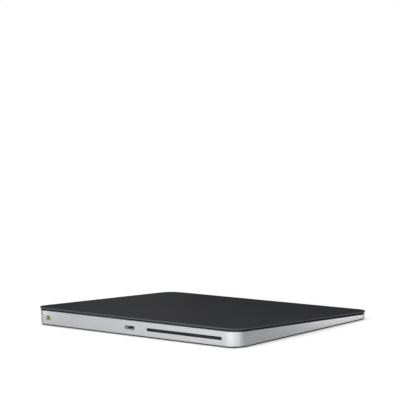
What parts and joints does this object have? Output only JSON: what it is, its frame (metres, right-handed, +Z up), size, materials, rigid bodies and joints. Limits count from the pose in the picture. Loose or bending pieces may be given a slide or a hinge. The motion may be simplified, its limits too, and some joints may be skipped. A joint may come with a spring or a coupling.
{
  "type": "trackpad",
  "caption": "Wireless desktop trackpad: aluminium wedge tray, black glass touch deck on sensing flexures, haptic actuator, battery, charge port and power switch.",
  "frame": {"origin": "on the desk under the centre of the body, at the underside of the feet", "axes": "+X to the user's right, +Y from the low front edge to the rear wall with the openings, +Z up"},
  "size_m": [0.16, 0.1148, 0.0109],
  "materials": {
    "deck_glass": "matte black, etched",
    "black_plastic": "moulded black",
    "bond_film": "clear adhesive over black print",
    "sensor_board": "solder mask",
    "logic_board": "solder mask",
    "chip_resin": "moulded resin",
    "connector_plastic": "moulded",
    "spring_steel": "rolled",
    "core_steel": "laminated",
    "screw_steel": "plated",
    "gel_rubber": "soft, translucent grey",
    "flex_film": "amber film",
    "coil_copper": "enamelled copper",
    "case_aluminium": "bead-blasted, anodised",
    "knob_aluminium": "bead-blasted, anodised",
    "cover_plastic": "fine texture, dark grey",
    "window_plastic": "satin black",
    "port_steel": "plated sheet",
    "contact_gold": "gold plated",
    "green_paint": "printed green",
    "passive_ceramic": "ceramic",
    "cell_pouch": "laminated pouch, dark grey",
    "tape": "double-sided tape",
    "foot_rubber": "soft grey"
  },
  "bodies": {
    "base": {"strain_gauges": "flex_film", "gauge_cables": "flex_film", "flexure_screws": "screw_steel", "haptic_core": "core_steel", "haptic_coils": "coil_copper", "haptic_bracket": "spring_steel", "haptic_screws": "screw_steel", "haptic_cable": "flex_film", "lower_case": "case_aluminium", "base_cover": "cover_plastic", "antenna_window": "window_plastic", "antenna_carrier": "black_plastic", "antenna_trace": "coil_copper", "port_shell": "port_steel", "port_block": "black_plastic", "port_contacts": "contact_gold", "port_bracket": "port_steel", "port_screws": "screw_steel", "switch_guide": "black_plastic", "slide_switch": "port_steel", "logic_board": "logic_board", "board_screws": "screw_steel", "board_connectors": "connector_plastic", "board_chips": "chip_resin", "board_passives": "passive_ceramic", "radio_shield": "port_steel", "power_shield": "port_steel", "battery_cell_left": "cell_pouch", "battery_cell_right": "cell_pouch", "battery_protectors": "logic_board", "battery_tape": "tape", "battery_cables": "flex_film", "sensor_cable": "flex_film", "foot_front_left": "foot_rubber", "foot_front_right": "foot_rubber", "foot_rear_left": "foot_rubber", "foot_rear_right": "foot_rubber", "flexure_front_left": "spring_steel", "flexure_front_right": "spring_steel", "flexure_rear_left": "spring_steel", "flexure_rear_right": "spring_steel"},
    "power_slider": {"switch_knob": "knob_aluminium", "switch_apron": "black_plastic", "green_indicator": "green_paint", "switch_lever": "black_plastic"},
    "press_stage": {"tip_plates": "spring_steel", "gel_pads": "gel_rubber"},
    "touch_deck": {"touch_glass": "deck_glass", "bond_film": "bond_film", "edge_frame": "black_plastic", "sensor_board": "sensor_board", "sensor_chips": "chip_resin", "sensor_connector": "connector_plastic", "stiffener_plate": "spring_steel", "attraction_bar": "core_steel", "attraction_screws": "screw_steel"}
  },
  "joints": [
    {"name": "power_switch_slide", "type": "slide", "parent": "base", "child": "power_slider", "axis": [-1, 0, 0], "range_m": [0, 0.00314]},
    {"name": "touch_press", "type": "slide", "parent": "base", "child": "press_stage", "axis": [0, 0.0521, -0.9986], "range_m": [0, 0.00015], "stiffness_N_per_m": 8000, "springref_m": -0.0003, "deforming": ["flexure_front_left", "flexure_front_right", "flexure_rear_left", "flexure_rear_right", "gauge_cables", "sensor_cable"]},
    {"name": "haptic_shift", "type": "slide", "parent": "press_stage", "child": "touch_deck", "axis": [0, 0.9986, 0.0521], "range_m": [-0.0001, 0.0001], "stiffness_N_per_m": 8000, "deforming": ["gel_pads"]}
  ]
}
